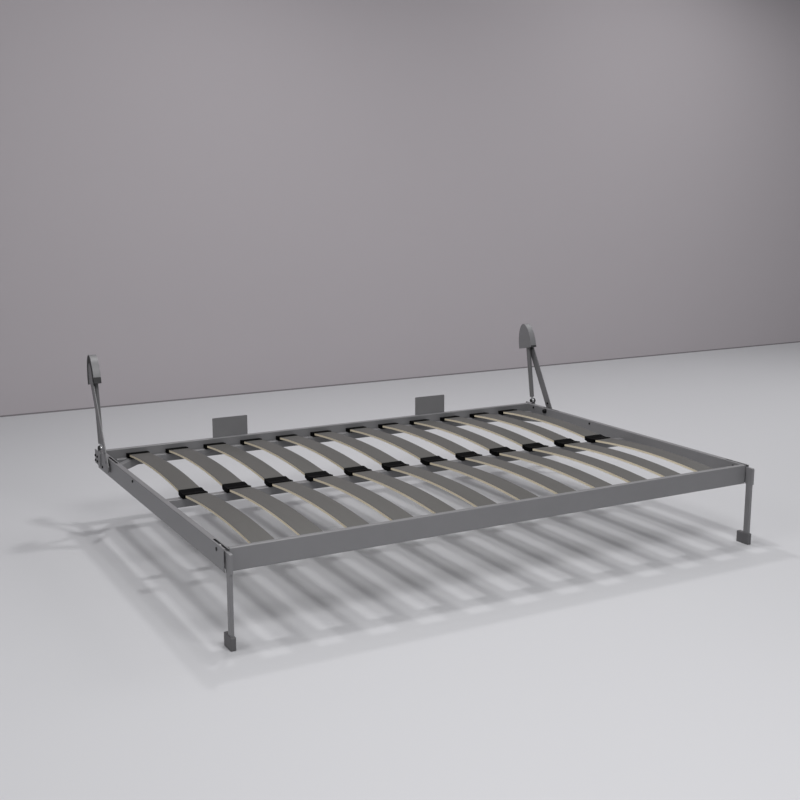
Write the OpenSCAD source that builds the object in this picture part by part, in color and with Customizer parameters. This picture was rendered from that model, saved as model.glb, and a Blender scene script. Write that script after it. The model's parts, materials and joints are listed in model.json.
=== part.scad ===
// Fold down wall bed mechanism: slatted frame on two side pivots, gas struts and folding legs.
// Millimetres. X runs along the bed, +Y points to the wall, Z is up from the floor.
// The origin is on the floor at the centre of the whole footprint.

/* [Bed frame] */
// Clear length between the side rails
inner_w = 2000; // [1900:10:2100]
// Clear depth between the front and back rails
inner_d = 1350; // [1250:10:1400]
// Rail tube width
rail_w = 20; // [20:1:22]
// Rail tube height
rail_h = 70; // [66:1:80]
// Rail tube wall
rail_wall = 2; // [1.5:0.1:2.4]
// Outer corner radius of the rail tubes
rail_r = 3; // [2.5:0.5:4]
// Height of the rail tops over the floor
rail_top = 296; // [292:1:300]
// Width of the long slots in the side rail tops
slot_w = 8; // [6:0.5:9]
// Length of the front top slot
front_slot = 107; // [100:1:115]
// Length of the back top slot
back_slot = 120; // [110:1:126]
// Distance of the back top slot from the back face
back_slot_y = 127; // [124:1:130]

/* [Slat supports] */
// Drop from the rail top to the ledge top
ledge_drop = 34.5; // [33:0.5:36]
// Ledge tube depth
ledge_d = 25; // [24:1:30]
// Ledge tube height
ledge_h = 30; // [25:1:34]
// Ledge tube wall
ledge_t = 2; // [1.5:0.1:2.5]
// Centre beam width
beam_w = 30; // [28:1:36]
// Centre beam height
beam_h = 30; // [25:1:34]
// Centre beam wall
beam_wall = 2; // [1.5:0.1:2.5]
// Width of the corner braces
brace_w = 25; // [20:1:30]
// Distance of the brace ends from the frame corner
brace_reach = 108; // [90:1:120]

/* [Slats] */
// Slats in each row
slat_count = 12; // [12:1:12]
// Slat width
slat_w = 76; // [66:1:82]
// Slat thickness
slat_t = 8; // [7:0.5:9]
// Rise of the bowed slat at its middle
slat_rise = 18.5; // [16:0.5:20]
// Height of the slat ends over the ledge, to the top face
slat_end = 13; // [12.5:0.5:15]
// Gap between a side rail and the slats next to it
slat_side = 89.2; // [60:0.1:110]
// Spacing of the two slats next to the middle
slat_middle = 167.6; // [160:0.1:172]

/* [Slat holders] */
// Holder side wall
holder_wall = 4; // [3:0.5:5]
// Holder roof over the slat
holder_roof = 2.2; // [2:0.1:3]
// Holder floor under the slat at the open end
holder_floor = 2.5; // [2:0.25:3.5]
// Holder depth along the slat
holder_d = 36; // [32:1:40]
// Corner radius of the holders seen from above
holder_r = 5; // [2:0.5:8]
// Radius of the pegs under the holders
peg_r = 4; // [3:0.5:5]
// Length of the pegs
peg_l = 9; // [7:0.5:11]
// Spacing of the two pegs
peg_dx = 44; // [36:1:50]
// Thickness of the end wall that the slat stops against
holder_end = 6; // [5:0.5:8]

/* [Mattress stops] */
// Stop plate width
stop_w = 150; // [140:1:160]
// Stop plate thickness
stop_t = 4; // [3:0.5:5]
// Stop plate height over the rail
stop_rise = 79; // [70:1:90]
// Distance of each stop from the middle of the bed
stop_x = 475; // [450:5:490]
// Corner radius of the stop plates
stop_r = 3; // [1:1:12]
// Height of the stop plate's lower edge over the rail bottom
stop_low = 14; // [8:1:20]

/* [Main pivot] */
// Pivot distance in front of the back face
pivot_in = 155; // [153:1:158]
// Pivot depth under the rail top
pivot_drop = 13.5; // [13:0.5:15]
// Pivot pin radius
pivot_r = 6; // [5:0.5:6.5]
// Bush radius in the rail
bush_r = 9; // [8:0.5:10]
// Bush flange radius
flange_r = 14; // [12:1:16]
// Space between the side rail and the arm
arm_gap = 5; // [5:0.1:5.5]
// Nut radius
nut_r = 9.5; // [9:0.5:12]
// Nut length
nut_len = 11; // [9:1:13]

/* [Side arms] */
// Arm plate thickness
arm_t = 4; // [3.5:0.5:5]
// Arm bar width
arm_w = 36; // [32:1:40]
// Arm lean from the vertical
arm_lean = 30; // [29:0.5:31]
// Arm tail below the pivot
arm_tail = 24; // [18:1:28]
// Radius of the screw holes to the cabinet side
screw_r = 3.3; // [2.8:0.1:3.5]
// Row spacing of the head holes along the depth
screw_dy = 52; // [50:1:54]
// Row spacing of the head holes up the cabinet
screw_dz = 24; // [20:1:26]
// Distance of the lower screw hole above the pivot along the arm
low_screw = 36; // [34:1:44]
// Radius of the lower screw hole
low_r = 4.2; // [3.5:0.1:4.5]

/* [Covers] */
// Half width of the cover at its open base
cover_a = 50; // [49:0.5:54]
// Height of the cover over its base
cover_b = 113; // [110:1:120]
// Cover lean to the wall
cover_lean = 11.1; // [10:0.1:12]
// Cover base behind the back face
cover_y = 14.9; // [13:0.1:17]
// Cover base over the floor
cover_z = 555; // [552:1:558]
// Cover wall
cover_wall = 1.6; // [1.2:0.1:1.8]
// Depth that the cover reaches in over the side rail
cover_in = 19.5; // [19.3:0.1:19.9]

/* [Gas struts] */
// Strut axis inboard of the rail outer face
strut_in = 6.8; // [6.6:0.1:6.9]
// Lower pivot in front of the back face
strut_low_y = 33; // [31:1:35]
// Lower pivot over the rail top
strut_low_z = 14.5; // [14:0.5:16]
// Upper pivot behind the back face
strut_up_y = 14.5; // [13:0.5:16]
// Upper pivot over the floor
strut_up_z = 603.5; // [600:0.5:606]
// Tube radius
tube_r = 10.2; // [9.8:0.1:10.4]
// Tube bore radius
tube_bore = 8.5; // [8:0.1:8.7]
// Rod radius
rod_r = 5; // [4:0.5:5.5]
// Distance from the lower pivot to the tube
tube_start = 18; // [17.5:0.5:20]
// Eye radius
eye_r = 8.5; // [8:0.25:9]
// Eye thickness
eye_t = 10; // [9:0.5:11]
// Strut pivot pin radius
eye_pin = 4; // [3.5:0.5:4.5]
// Length of the eye's shank up the rod
eye_shank = 15.5; // [15:0.25:16.5]
// Rod guide length at the tube mouth
rod_guide = 12; // [10:1:16]
// Head height of the strut pins
pin_head = 2.5; // [2:0.25:2.75]
// Inner head height of the lower strut pins
low_head = 5; // [3:0.5:6]
// Strut bracket plate
bracket_t = 4; // [3:0.5:4.2]
// Bracket reach behind the back face
bracket_back = 28; // [26:1:32]
// Bracket depth below the rail top
bracket_low = 54; // [50:1:58]
// Bracket eye radius round the lower strut pivot
bracket_eye = 9.5; // [9:0.5:10]

/* [Folding legs] */
// Leg bar thickness
leg_t = 10; // [8:0.5:11]
// Leg pivot behind the front face
leg_in = 58; // [57:1:59]
// Leg pivot under the rail top
leg_drop = 15.5; // [15.5:0.5:16]
// Leg pin radius
leg_pin = 4; // [3.5:0.5:5]
// Leg head radius
leg_head = 13; // [12:0.5:13]
// Leg reach in front of the rails, upper block
leg_front = 33; // [31:1:35]
// Leg width below the rails
leg_w = 23; // [20:1:25]
// Height of the leg block over its pivot
leg_over = 8; // [6:0.5:9]
// Foot length
foot_l = 60; // [54:1:60]
// Foot height
foot_h = 42; // [38:1:42]
// Foot width
foot_w = 17; // [15:1:20]
// Large corner radius of the foot
foot_r = 7; // [5:1:9]
// Sole corner radius of the foot
sole_r = 3; // [2:0.5:4]
// Thickness of the foot under the leg bar
foot_floor = 8; // [6:0.5:12]
// Edge radius of the foot across its width
foot_edge = 4; // [2:0.5:5]
// Corner radius of the leg block
leg_r = 4; // [2:0.5:6]

/* [Fasteners] */
// Bolt shank radius
bolt_r = 3; // [2.5:0.5:3.5]
// Bolt head radius
bolt_head = 5; // [4.5:0.5:6]
// Bolt head height
bolt_h = 3.5; // [3:0.25:3.75]
// Through bolt of each side rail, distance from the back face
through_bolt = 480; // [460:1:500]
// Inner bolt of each side rail, distance from the back face
inner_bolt = 63; // [60:1:66]
// Outer bolt of each side rail, distance from the back face
outer_bolt = 64; // [60:1:70]
// Depth of the upper bolts under the rail top
upper_bolt = 12.5; // [12:0.5:14]
// Height of the lower bolts over the rail bottom
lower_bolt = 17; // [15:1:20]
// Row spacing of the bracket bolts up the rail
bracket_bolt_dz = 19; // [17:1:22]
// Row spacing of the bracket bolts along the rail
bracket_bolt_dy = 28; // [26:1:30]
// Height of the stop plate bolts over the rail bottom
stop_bolt_z = 35; // [30:1:40]
// Spacing of the stop plate bolts
stop_bolt_dx = 100; // [90:1:110]

/* [Clearances] */
// Radial running fit
run_fit = 0.05; // [0.02:0.01:0.09]
// Gap of pieces set fast in one another
set_fit = 0.02; // [0.01:0.01:0.04]
// Gap between neighbouring moving pieces
gap = 0.3; // [0.2:0.05:0.4]
// Slat play in its holder
slat_fit = 0.3; // [0.2:0.05:0.5]

/* [Hidden] */
$fn = 40;
frame_w = inner_w + 2 * rail_w;
frame_d = inner_d + 2 * rail_w;
rail_in = inner_w / 2;
rail_out = frame_w / 2;
rail_mid = (rail_in + rail_out) / 2;
rail_low = rail_top - rail_h;
mid_y = -frame_d / 2;
ledge_z = rail_top - ledge_drop;

pivot_y = -pivot_in;
pivot_z = rail_top - pivot_drop;
arm_x = rail_out + arm_gap;
arm_out = arm_x + arm_t;

cover_x = rail_out - cover_in;
function half_ellipse(a, b, n) = [for (i = [0:n]) [a * cos(180 * i / n), b * sin(180 * i / n)]];
function leaned(p) = [
    cover_y + p[0] * cos(cover_lean) + p[1] * sin(cover_lean),
    cover_z - p[0] * sin(cover_lean) + p[1] * cos(cover_lean)];
cover_edge = [for (p = half_ellipse(cover_a, cover_b, 36)) leaned(p)];
cover_back = max([for (p = cover_edge) p[0]]);

leg_y = -frame_d + leg_in;
leg_z = rail_top - leg_drop;
leg_x0 = rail_mid - leg_t / 2;
leg_x1 = rail_mid + leg_t / 2;
foot_y = -frame_d - leg_front - 2;

// Puts the middle of the whole footprint on the origin
shift_y = -(foot_y + cover_back) / 2;

// Spacing of the slats in each half of the bed, from the middle pair out to the rails
slat_pitch = (inner_w / 2 - slat_side - slat_w / 2 - slat_middle / 2) / (slat_count / 2 - 1);
function column_x(i) =
    (i - (slat_count + 1) / 2) * slat_pitch + sign(i - (slat_count + 1) / 2) * (slat_middle - slat_pitch) / 2;
slat_len = inner_d / 2 - holder_end - 4;
slat_mid = rail_w + holder_end + 1 + slat_len / 2;
slat_rad = (slat_len * slat_len / 4 + slat_rise * slat_rise) / (2 * slat_rise);
slat_end_z = ledge_z + slat_end;
slat_cz = slat_end_z + slat_rise - slat_rad;
holder_u = slat_len / 2 - (holder_d - holder_end - 1) / 2;
holder_slope = asin(holder_u / slat_rad);
function slat_top(u) = slat_cz + sqrt(slat_rad * slat_rad - u * u);
function lip_high(u) = slat_top(u) + holder_roof + 0.5;
function lip_low(u) = slat_top(u) - slat_t / cos(holder_slope) - slat_fit - holder_floor;

strut_x = rail_out - strut_in;
low_y = -strut_low_y;
low_z = rail_top + strut_low_z;
strut_lean = atan2(strut_up_y - low_y, strut_up_z - low_z);
strut_len = norm([strut_up_y - low_y, strut_up_z - low_z]);
tube_end = strut_len - eye_r - 16;
rod_end = tube_end - 20;
piston_len = 12;
rod_seat = 10;

screw_y = strut_up_y - 3.5;
screw_z = cover_z + 28;

bracket_y = low_y - 12;
bracket_bolts_y = [bracket_back - 8 - bracket_bolt_dy, bracket_back - 8];
bracket_bolts_z = [rail_top - bracket_low + 12, rail_top - bracket_low + 12 + bracket_bolt_dz];
stop_bolts_x = [for (s = [-1, 1], x = [-0.5, 0.5]) s * stop_x + x * stop_bolt_dx];
beam_y = [mid_y - beam_w / 4, mid_y + beam_w / 4];
peg_y = ledge_d / 2;

function slat_name(row, i) = str("slat_", row, "_", i < 10 ? "0" : "", i);

// Moves a piece from the frame's own back face to the shared origin
module placed() {
    translate([0, shift_y, 0])
        children();
}

// Draws a piece of the right side and its mirror image on the left
module both_sides() {
    placed()
        children();
    mirror([1, 0, 0])
        placed()
            children();
}

// Extrudes a depth and height profile along X
module across(x0, x1) {
    translate([x0, 0, 0])
        rotate([90, 0, 90])
            linear_extrude(height = x1 - x0)
                children();
}

// Round bar along X
module bar_x(x0, x1, y, z, r) {
    translate([x0, y, z])
        rotate([0, 90, 0])
            cylinder(r = r, h = x1 - x0);
}

// Round bar along Y
module bar_y(x, y0, y1, z, r) {
    translate([x, y0, z])
        rotate([-90, 0, 0])
            cylinder(r = r, h = y1 - y0);
}

// Strut axes: Z runs up the strut from its lower pivot
module on_strut() {
    translate([strut_x, low_y, low_z])
        rotate([-strut_lean, 0, 0])
            children();
}

// Flat rectangle with round corners, from one corner to the other
module round_rect(x0, y0, x1, y1, r) {
    translate([x0 + r, y0])
        square([x1 - x0 - 2 * r, y1 - y0]);
    translate([x0, y0 + r])
        square([x1 - x0, y1 - y0 - 2 * r]);
    for (x = [x0 + r, x1 - r], y = [y0 + r, y1 - r])
        translate([x, y])
            circle(r = r);
}

// Section of a rectangular tube with round corners
module tube_section(x0, y0, x1, y1, wall, r) {
    difference() {
        round_rect(x0, y0, x1, y1, r);
        round_rect(x0 + wall, y0 + wall, x1 - wall, y1 - wall, max(r - wall, 0.4));
    }
}

// Long slot cut along Y, open at the front when its front end passes the rail
module slot_y(x, y0, y1, z0, z1, w) {
    translate([x - w / 2, y0 + w / 2, z0])
        cube([w, y1 - y0 - w, z1 - z0]);
    for (y = [y0 + w / 2, y1 - w / 2])
        translate([x, y, z0])
            cylinder(r = w / 2, h = z1 - z0);
}

module top_slot(y0, y1) {
    slot_y(rail_mid, y0, y1, rail_top - rail_wall - 1, rail_top + 1, slot_w);
}

// Side rail: tube with its back end closed, slots on top and the leg's slot below
module side_rail() {
    color("dimgray")
        difference() {
            union() {
                rotate([90, 0, 0])
                    linear_extrude(height = frame_d)
                        tube_section(rail_in, rail_low, rail_out, rail_top, rail_wall, rail_r);
                rotate([90, 0, 0])
                    linear_extrude(height = rail_wall)
                        round_rect(rail_in, rail_low, rail_out, rail_top, rail_r);
            }
            top_slot(-frame_d - 20, -frame_d + front_slot);
            top_slot(-back_slot_y - back_slot, -back_slot_y);
            slot_y(rail_mid, -frame_d - 20, leg_y + leg_head + 6,
                rail_low - 1, rail_low + rail_wall + 1, leg_t + 2);
            bar_x(rail_in - 1, rail_out + 1, pivot_y, pivot_z, bush_r + set_fit);
            bar_x(rail_in - 1, rail_out + 1, leg_y, leg_z, leg_pin + set_fit);
            for (z = bracket_bolts_z)
                bar_x(rail_mid, rail_out + 1, bracket_bolts_y[0], z, bolt_r + set_fit);
            bar_x(rail_in - 1, rail_out + 1, -through_bolt, rail_top - upper_bolt, bolt_r + set_fit);
            bar_x(rail_in - 1, rail_mid, -inner_bolt, rail_top - upper_bolt, bolt_r + set_fit);
            bar_x(rail_mid, rail_out + 1, -outer_bolt, rail_low + lower_bolt, bolt_r + set_fit);
        }
}

module rail_right() {
    placed()
        side_rail();
}

module rail_left() {
    mirror([1, 0, 0])
        rail_right();
}

module cross_tube() {
    across(-rail_in, rail_in)
        tube_section(-rail_w, rail_low, 0, rail_top, rail_wall, rail_r);
}

module rail_back() {
    color("dimgray")
        placed()
            difference() {
                cross_tube();
                for (x = stop_bolts_x)
                    bar_y(x, -rail_w / 2, 1, rail_low + stop_bolt_z, bolt_r + set_fit);
            }
}

module rail_front() {
    color("dimgray")
        placed()
            translate([0, -frame_d + rail_w, 0])
                cross_tube();
}

// Tube under the slat ends, with holes for the holder pegs
module ledge() {
    difference() {
        across(-rail_in, rail_in)
            tube_section(-rail_w - ledge_d, ledge_z - ledge_h, -rail_w, ledge_z, ledge_t, rail_r);
        every_column()
            for (s = [-0.5, 0.5])
                translate([s * peg_dx, -rail_w - peg_y, ledge_z - ledge_t - 1])
                    cylinder(r = peg_r + set_fit, h = ledge_t + 2);
    }
}

module ledge_back() {
    color("gray")
        placed()
            ledge();
}

module ledge_front() {
    color("gray")
        placed()
            front_row()
                ledge();
}

// Short tubes across the back corners, from the ledge to the side rails
module corner_braces() {
    front = -rail_w - ledge_d;
    color("gray")
        both_sides()
            intersection() {
                translate([rail_in - brace_reach / 2, front - brace_reach / 2, 0])
                    rotate([0, 0, -45])
                        across(-brace_reach, brace_reach)
                            tube_section(-brace_w / 2, ledge_z - ledge_h,
                                brace_w / 2, ledge_z, ledge_t, rail_r);
                translate([rail_in - 2 * brace_reach, front - 2 * brace_reach, ledge_z - ledge_h - 1])
                    cube([2 * brace_reach, 2 * brace_reach, ledge_h + 2]);
            }
}

module centre_beam() {
    color("gray")
        placed()
            difference() {
                across(-rail_in, rail_in)
                    tube_section(mid_y - beam_w / 2, ledge_z - beam_h,
                        mid_y + beam_w / 2, ledge_z, beam_wall, rail_r);
                every_column()
                    for (y = beam_y)
                        translate([0, y, ledge_z - beam_wall - 1])
                            cylinder(r = peg_r + set_fit, h = beam_wall + 2);
            }
}

// Bowed slat about its own middle, in place for the back row
module slat(i) {
    color("darkslategray")
        placed()
            translate([column_x(i), -slat_mid, slat_cz])
                across(-slat_w / 2, slat_w / 2)
                    intersection() {
                        difference() {
                            circle(r = slat_rad, $fn = 480);
                            circle(r = slat_rad - slat_t, $fn = 480);
                        }
                        translate([-slat_len / 2, slat_rad - slat_rise - slat_t - 10])
                            square([slat_len, slat_rise + slat_t + 20]);
                    }
}

module slat_back(i) {
    slat(i);
}

module slat_front(i) {
    translate([0, 2 * (slat_mid + mid_y), 0])
        slat(i);
}

// End holder of the back row, at the middle of the bed
module end_holder() {
    half = slat_w / 2 + holder_wall;
    lip = slat_len / 2 + 1 + holder_end - holder_d;
    difference() {
        intersection() {
            across(-half, half)
                polygon([
                    [-rail_w, ledge_z], [-rail_w, slat_end_z + holder_roof],
                    [-rail_w - holder_d, lip_high(lip)], [-rail_w - holder_d, lip_low(lip)],
                    [-rail_w - ledge_d, ledge_z]]);
            translate([0, 0, ledge_z - 1])
                linear_extrude(height = slat_end + slat_rise + 20)
                    round_rect(-half, -rail_w - holder_d, half, -rail_w + 2 * holder_r, holder_r);
        }
        slat_pocket();
    }
    for (s = [-0.5, 0.5])
        translate([s * peg_dx, -rail_w - peg_y, ledge_z - peg_l])
            cylinder(r = peg_r, h = peg_l + 1);
}

// Straight pocket on the slope of the slat end, open to the middle of the slat
module slat_pocket() {
    depth = (holder_d - holder_end - 1) / 2 + 1;
    translate([0, -slat_mid + holder_u, slat_top(holder_u) - slat_t / 2])
        rotate([-holder_slope, 0, 0])
            translate([-slat_w / 2 - slat_fit, -holder_d, -slat_t / 2 - slat_fit])
                cube([slat_w + 2 * slat_fit, holder_d + depth, slat_t + 2 * slat_fit]);
}

// Moves a back row piece to the front row by turning it about the middle of the bed
module front_row() {
    translate([0, 2 * mid_y, 0])
        mirror([0, 1, 0])
            children();
}

module every_column() {
    for (i = [1:slat_count])
        translate([column_x(i), 0, 0])
            children();
}

module slat_holders_back() {
    color("black")
        placed()
            every_column()
                end_holder();
}

module slat_holders_front() {
    color("black")
        placed()
            every_column()
                front_row()
                    end_holder();
}

// Double holder over the centre beam, one pocket for each row
module centre_holder() {
    reach = holder_d - 1;
    half = slat_w / 2 + holder_wall;
    lip = slat_len / 2 + 3 - reach;
    difference() {
        intersection() {
            across(-half, half)
                polygon([
                    [mid_y - beam_w / 2, ledge_z], [mid_y + beam_w / 2, ledge_z],
                    [mid_y + reach, lip_low(lip)], [mid_y + reach, lip_high(lip)],
                    [mid_y, slat_end_z + holder_roof],
                    [mid_y - reach, lip_high(lip)], [mid_y - reach, lip_low(lip)]]);
            translate([0, 0, ledge_z - 1])
                linear_extrude(height = slat_end + slat_rise + 20)
                    round_rect(-half, mid_y - reach, half, mid_y + reach, holder_r);
        }
        centre_pocket();
        front_row()
            centre_pocket();
    }
    for (y = beam_y)
        translate([0, y, ledge_z - peg_l])
            cylinder(r = peg_r, h = peg_l + 1);
}

module centre_pocket() {
    depth = (holder_d - holder_end - 1) / 2 + 1;
    translate([0, -slat_mid - holder_u, slat_top(holder_u) - slat_t / 2])
        rotate([holder_slope, 0, 0])
            translate([-slat_w / 2 - slat_fit, -depth, -slat_t / 2 - slat_fit])
                cube([slat_w + 2 * slat_fit, holder_d + depth, slat_t + 2 * slat_fit]);
}

module slat_holders_centre() {
    color("black")
        placed()
            every_column()
                centre_holder();
}

// Plate with two rounded upper corners on the back face of the back rail
module stop_plate() {
    low = rail_low + stop_low;
    high = rail_top + stop_rise;
    difference() {
        translate([0, stop_t, 0])
            rotate([90, 0, 0])
                linear_extrude(height = stop_t)
                    union() {
                        translate([-stop_w / 2, low])
                            square([stop_w, high - low - stop_r]);
                        translate([-stop_w / 2 + stop_r, low])
                            square([stop_w - 2 * stop_r, high - low]);
                        for (s = [-1, 1])
                            translate([s * (stop_w / 2 - stop_r), high - stop_r])
                                circle(r = stop_r);
                    }
        for (x = [-0.5, 0.5])
            bar_y(x * stop_bolt_dx, -1, stop_t + 1, rail_low + stop_bolt_z, bolt_r + set_fit);
    }
}

module mattress_stops() {
    color("dimgray")
        placed()
            for (s = [-1, 1])
                translate([s * stop_x, 0, 0])
                    stop_plate();
}

// Arm: bar through the pivot, round tail, head plate inside the cover
module arm() {
    head = [for (p = half_ellipse(cover_a - cover_wall - gap, cover_b - cover_wall - gap, 36)) leaned(p)];
    reach = (cover_z - pivot_z) / cos(arm_lean);
    color("dimgray")
        difference() {
            union() {
                across(arm_x, arm_out)
                    polygon(head);
                translate([arm_x, pivot_y, pivot_z])
                    rotate([-arm_lean, 0, 0])
                        translate([0, -arm_w / 2, -arm_tail])
                            cube([arm_t, arm_w, arm_tail + reach + 12]);
                translate([0, pivot_y, pivot_z])
                    rotate([-arm_lean, 0, 0])
                        bar_x(arm_x, arm_out, 0, -arm_tail, arm_w / 2);
            }
            bar_x(arm_x - 1, arm_out + 1, pivot_y, pivot_z, pivot_r + set_fit);
            bar_x(arm_x - 1, arm_out + 1, pivot_y + low_screw * sin(arm_lean),
                pivot_z + low_screw * cos(arm_lean), low_r);
            for (sy = [-0.5, 0.5], sz = [-0.5, 0.5])
                bar_x(arm_x - 1, arm_out + 1, screw_y + sy * screw_dy, screw_z + sz * screw_dz, screw_r);
        }
}

module arm_right() {
    placed()
        arm();
}

module arm_left() {
    mirror([1, 0, 0])
        arm_right();
}

// Cover: thin shell, closed to the bed, open to the cabinet side and below
module cover() {
    inner = concat(
        [for (p = half_ellipse(cover_a - cover_wall, cover_b - cover_wall, 36)) leaned(p)],
        [leaned([-cover_a + cover_wall, -5]), leaned([cover_a - cover_wall, -5])]);
    color("dimgray")
        difference() {
            across(cover_x, arm_out)
                polygon(cover_edge);
            across(cover_x + cover_wall, arm_out + 1)
                polygon(inner);
        }
}

module cover_right() {
    placed()
        cover();
}

module cover_left() {
    mirror([1, 0, 0])
        cover_right();
}

module pivot_pins() {
    color("black")
        both_sides()
            bar_x(rail_in - gap - nut_len, arm_out, pivot_y, pivot_z, pivot_r);
}

module pivot_nuts() {
    color("black")
        both_sides()
            difference() {
                union() {
                    bar_x(rail_in - gap - 2.5, rail_in - gap, pivot_y, pivot_z, nut_r + 1.5);
                    translate([rail_in - gap - nut_len, pivot_y, pivot_z])
                        rotate([0, 90, 0])
                            cylinder(r = nut_r, h = nut_len, $fn = 6);
                }
                bar_x(rail_in - gap - nut_len - 1, rail_in, pivot_y, pivot_z, pivot_r + set_fit);
            }
}

module pivot_bushes() {
    color("black")
        both_sides()
            difference() {
                union() {
                    bar_x(rail_in, rail_out, pivot_y, pivot_z, bush_r);
                    bar_x(rail_out, arm_x - gap, pivot_y, pivot_z, flange_r);
                }
                bar_x(rail_in - 1, arm_x + 1, pivot_y, pivot_z, pivot_r + run_fit);
            }
}

// Plate bolted to the rail end, with an ear up to the lower strut pivot
module strut_bracket() {
    ear = rail_top - bracket_low / 2;
    neck = bracket_eye * 0.95;
    color("dimgray")
        difference() {
            union() {
                across(rail_out, rail_out + bracket_t) {
                    round_rect(bracket_y, rail_top - bracket_low, bracket_back, rail_top, rail_r);
                    translate([low_y, low_z])
                        circle(r = bracket_eye);
                }
                across(rail_out, rail_out + bracket_t)
                    polygon([
                        [low_y - neck, ear], [low_y - neck, low_z],
                        [low_y + neck, low_z], [low_y + neck + 12, ear]]);
            }
            bar_x(rail_out - 1, rail_out + bracket_t + 1, low_y, low_z, eye_pin + set_fit);
            for (y = bracket_bolts_y, z = bracket_bolts_z)
                bar_x(rail_out - 1, rail_out + bracket_t + 1, y, z, bolt_r + set_fit);
        }
}

module strut_bracket_right() {
    placed()
        strut_bracket();
}

module strut_bracket_left() {
    mirror([1, 0, 0])
        strut_bracket_right();
}

module strut_pins() {
    inner = strut_x - eye_t / 2 - gap;
    outer = rail_out + bracket_t;
    color("black")
        both_sides() {
            bar_x(inner - 1, outer + 1, low_y, low_z, eye_pin);
            bar_x(inner - low_head, inner, low_y, low_z, eye_pin + pin_head);
            bar_x(outer, outer + pin_head, low_y, low_z, eye_pin + pin_head);
        }
}

module leg_pins() {
    color("black")
        both_sides() {
            bar_x(rail_in - 1, rail_out + 1, leg_y, leg_z, leg_pin);
            bar_x(rail_in - bolt_h / 2, rail_in, leg_y, leg_z, leg_pin + 1.5);
            bar_x(rail_out, rail_out + bolt_h / 2, leg_y, leg_z, leg_pin + 1.5);
        }
}

// Bracket bolts: the front ones end in the rail wall, the back ones in a nut behind the plate
module bracket_bolts() {
    for (z = bracket_bolts_z) {
        for (y = bracket_bolts_y) {
            bar_x(rail_out - rail_wall, rail_out + bracket_t + 0.5, y, z, bolt_r);
            bar_x(rail_out + bracket_t, rail_out + bracket_t + bolt_h, y, z, bolt_head);
        }
        translate([rail_out - bolt_h, bracket_bolts_y[1], z])
            rotate([0, 90, 0])
                cylinder(r = bolt_head + 0.8, h = bolt_h, $fn = 6);
    }
}

// All the small bolts: brackets, side rails and mattress stops
module rail_bolts() {
    color("black") {
        both_sides() {
            bracket_bolts();
            bar_x(rail_in - 1, rail_out + 1, -through_bolt, rail_top - upper_bolt, bolt_r);
            bar_x(rail_in - bolt_h, rail_in, -through_bolt, rail_top - upper_bolt, bolt_head);
            bar_x(rail_out, rail_out + bolt_h, -through_bolt, rail_top - upper_bolt, bolt_head);
            bar_x(rail_in - 1, rail_in + rail_wall, -inner_bolt, rail_top - upper_bolt, bolt_r);
            bar_x(rail_in - bolt_h, rail_in, -inner_bolt, rail_top - upper_bolt, bolt_head);
            bar_x(rail_out - rail_wall, rail_out + 1, -outer_bolt, rail_low + lower_bolt, bolt_r);
            bar_x(rail_out, rail_out + bolt_h, -outer_bolt, rail_low + lower_bolt, bolt_head);
        }
        placed()
            for (x = stop_bolts_x) {
                bar_y(x, -rail_wall, stop_t + 1, rail_low + stop_bolt_z, bolt_r);
                bar_y(x, stop_t, stop_t + bolt_h, rail_low + stop_bolt_z, bolt_head);
            }
    }
}

// Eye end of the rod, turning on the bracket's pin
module strut_eye() {
    color("silver")
        on_strut()
            difference() {
                union() {
                    bar_x(-eye_t / 2, eye_t / 2, 0, 0, eye_r);
                    cylinder(r = rod_r + 1, h = eye_shank);
                }
                bar_x(-eye_t, eye_t, 0, 0, eye_pin + run_fit);
                translate([eye_t / 2, -eye_r, -eye_r])
                    cube([eye_r, 2 * eye_r, eye_r + rod_seat - 1]);
                translate([-eye_t / 2 - eye_r, -eye_r, -eye_r])
                    cube([eye_r, 2 * eye_r, eye_r + rod_seat - 1]);
                translate([0, 0, rod_seat])
                    cylinder(r = rod_r + set_fit, h = eye_shank);
            }
}

module strut_eye_right() {
    placed()
        strut_eye();
}

module strut_eye_left() {
    mirror([1, 0, 0])
        strut_eye_right();
}

// Rod with its piston
module strut_rod() {
    color("gainsboro")
        on_strut() {
            translate([0, 0, rod_seat])
                cylinder(r = rod_r, h = rod_end - rod_seat);
            translate([0, 0, rod_end - piston_len])
                cylinder(r = tube_bore - 0.1, h = piston_len);
        }
}

module strut_rod_right() {
    placed()
        strut_rod();
}

module strut_rod_left() {
    mirror([1, 0, 0])
        strut_rod_right();
}

// Tube: rod guide below, long bore, neck and eye above
module strut_tube() {
    color("dimgray")
        on_strut()
            difference() {
                union() {
                    translate([0, 0, tube_start])
                        cylinder(r = tube_r, h = tube_end - tube_start);
                    translate([0, 0, tube_end - 1])
                        cylinder(r = eye_t / 2 - 0.8, h = strut_len - tube_end);
                    bar_x(-eye_t / 2, eye_t / 2, 0, strut_len, eye_r);
                }
                translate([0, 0, tube_start - 1])
                    cylinder(r = rod_r + run_fit, h = rod_guide + 2);
                translate([0, 0, tube_start + rod_guide])
                    cylinder(r = tube_bore, h = tube_end - 6 - tube_start - rod_guide);
                bar_x(-eye_t, eye_t, 0, strut_len, eye_pin + set_fit);
            }
}

module strut_tube_right() {
    placed()
        strut_tube();
}

module strut_tube_left() {
    mirror([1, 0, 0])
        strut_tube_right();
}

module strut_top_pin_right() {
    end = strut_x - eye_t / 2;
    color("silver")
        placed() {
            bar_x(end - 1, arm_x - gap, strut_up_y, strut_up_z, eye_pin);
            bar_x(end - pin_head, end, strut_up_y, strut_up_z, eye_pin + pin_head);
        }
}

module strut_top_pin_left() {
    mirror([1, 0, 0])
        strut_top_pin_right();
}

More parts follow.
